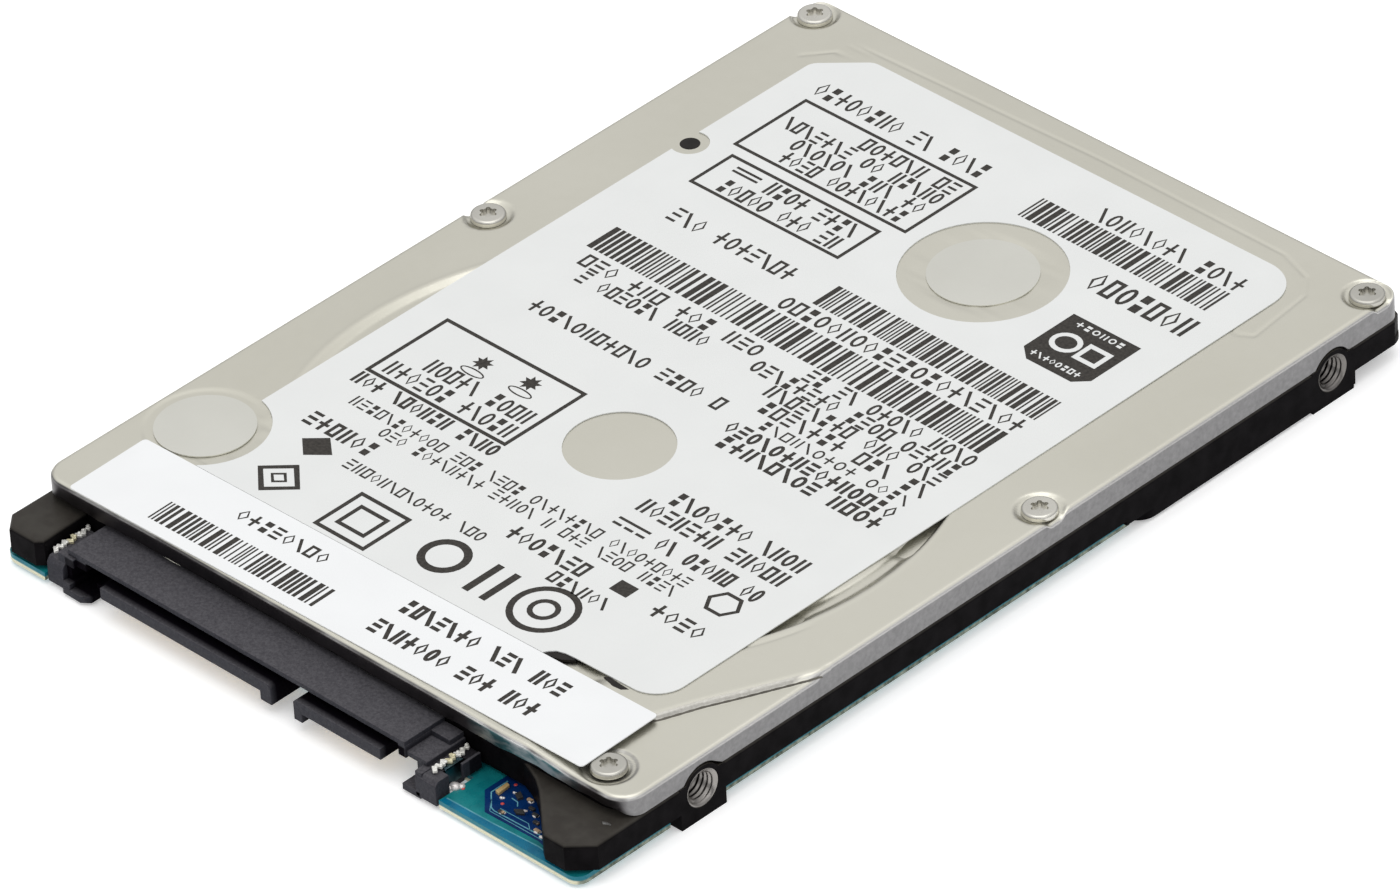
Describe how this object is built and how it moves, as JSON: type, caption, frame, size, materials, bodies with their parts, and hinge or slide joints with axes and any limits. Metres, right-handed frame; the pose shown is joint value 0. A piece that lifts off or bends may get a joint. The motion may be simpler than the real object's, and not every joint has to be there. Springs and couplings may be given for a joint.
{
  "type": "hard disk drive",
  "caption": "Slim 2.5-inch hard disk drive with a stamped steel cover, black cast base, circuit board, serial data and power plug, spinning disc and swinging head arm.",
  "frame": {"origin": "centre of the drive's footprint, on the plane its bottom bosses rest on", "axes": "+Z out of the steel cover, +Y along the length away from the connector, +X across the width toward the signal tongue"},
  "size_m": [0.0698, 0.1002, 0.007],
  "materials": {
    "black_casting": "fine satin black coating on cast aluminium",
    "cover_steel": "satin nickel-plated stamped steel",
    "gasket_rubber": "cured foam rubber bead",
    "screw_steel": "nickel-plated steel",
    "main_paper": "satin printed label paper",
    "part_paper": "gloss white label paper",
    "print_ink": "matt dark grey printing ink on the two labels",
    "foil": "thin satin foil",
    "filter_media": "pressed filter fibre",
    "bearing_bronze": "sintered bronze",
    "lamination": "laminated electrical steel",
    "copper_wire": "enamelled copper wire",
    "bright_steel": "ground bright steel",
    "aluminium": "machined aluminium",
    "magnet_plate": "nickel-plated magnet",
    "mirror_disc": "polished coated disc",
    "black_plastic": "fine-grained moulded polymer",
    "cream_plastic": "low-wear acetal",
    "flex_film": "polyimide flexible circuit",
    "stop_rubber": "moulded rubber",
    "solder_mask": "teal solder mask over copper",
    "insulating_film": "thin black polyester film",
    "chip_resin": "moulded chip resin",
    "ceramic_parts": "small ceramic components",
    "gold_contact": "gold-plated contact",
    "tin_plate": "tin-plated spring steel"
  },
  "bodies": {
    "chassis": {"base_casting": "black_casting", "top_cover": "cover_steel", "cover_gasket": "gasket_rubber", "cover_screws": "screw_steel", "main_label": "main_paper", "part_label": "part_paper", "access_seal": "foil", "pivot_seal": "foil", "pivot_screw": "screw_steel", "breather_filter": "filter_media", "recirculation_filter": "filter_media", "desiccant_pack": "filter_media", "bearing_sleeve": "bearing_bronze", "thrust_cap": "bright_steel", "stator_core": "lamination", "stator_coils": "copper_wire", "pivot_shaft": "bright_steel", "pivot_inner_races": "bright_steel", "flex_cable": "flex_film", "flex_bracket": "black_plastic", "lower_yoke": "magnet_plate", "upper_yoke": "magnet_plate", "lower_magnet": "magnet_plate", "upper_magnet": "magnet_plate", "yoke_screws": "screw_steel", "crash_stops": "stop_rubber", "load_ramp": "cream_plastic", "ramp_screw": "screw_steel", "latch_pin": "bright_steel", "circuit_board": "solder_mask", "board_insulator": "insulating_film", "board_screws": "screw_steel", "controller_chip": "chip_resin", "memory_chip": "chip_resin", "motor_driver_chip": "chip_resin", "board_parts": "ceramic_parts", "sata_housing": "black_plastic", "signal_contacts": "gold_contact", "power_contacts": "gold_contact", "board_locks": "tin_plate"},
    "spindle": {"spindle_shaft": "bright_steel", "rotor_hub": "aluminium", "rotor_magnet": "magnet_plate", "platter": "mirror_disc", "disk_clamp": "bright_steel", "clamp_screw": "screw_steel"},
    "actuator": {"pivot_outer_races": "bright_steel", "pivot_balls": "bright_steel", "pivot_sleeve": "bright_steel", "actuator_arm": "aluminium", "coil_frame": "cream_plastic", "voice_coil": "copper_wire", "lower_suspension": "bright_steel", "upper_suspension": "bright_steel", "lower_slider": "chip_resin", "upper_slider": "chip_resin", "preamp_board": "flex_film", "preamp_chip": "chip_resin"},
    "latch": {"latch_lever": "cream_plastic"}
  },
  "joints": [
    {"name": "spindle_spin", "type": "hinge", "parent": "chassis", "child": "spindle", "pos_m": [0, -0.0105, 0.00405], "axis": [0, 0, 1], "continuous": true},
    {"name": "actuator_swing", "type": "hinge", "parent": "chassis", "child": "actuator", "pos_m": [0.0058, 0.028, 0.0043], "axis": [0, 0, 1], "range_deg": [0, 31.5]},
    {"name": "latch_swing", "type": "hinge", "parent": "chassis", "child": "latch", "pos_m": [0.02487, 0.02395, 0.00425], "axis": [0, 0, 1], "range_deg": [0, 8]}
  ]
}
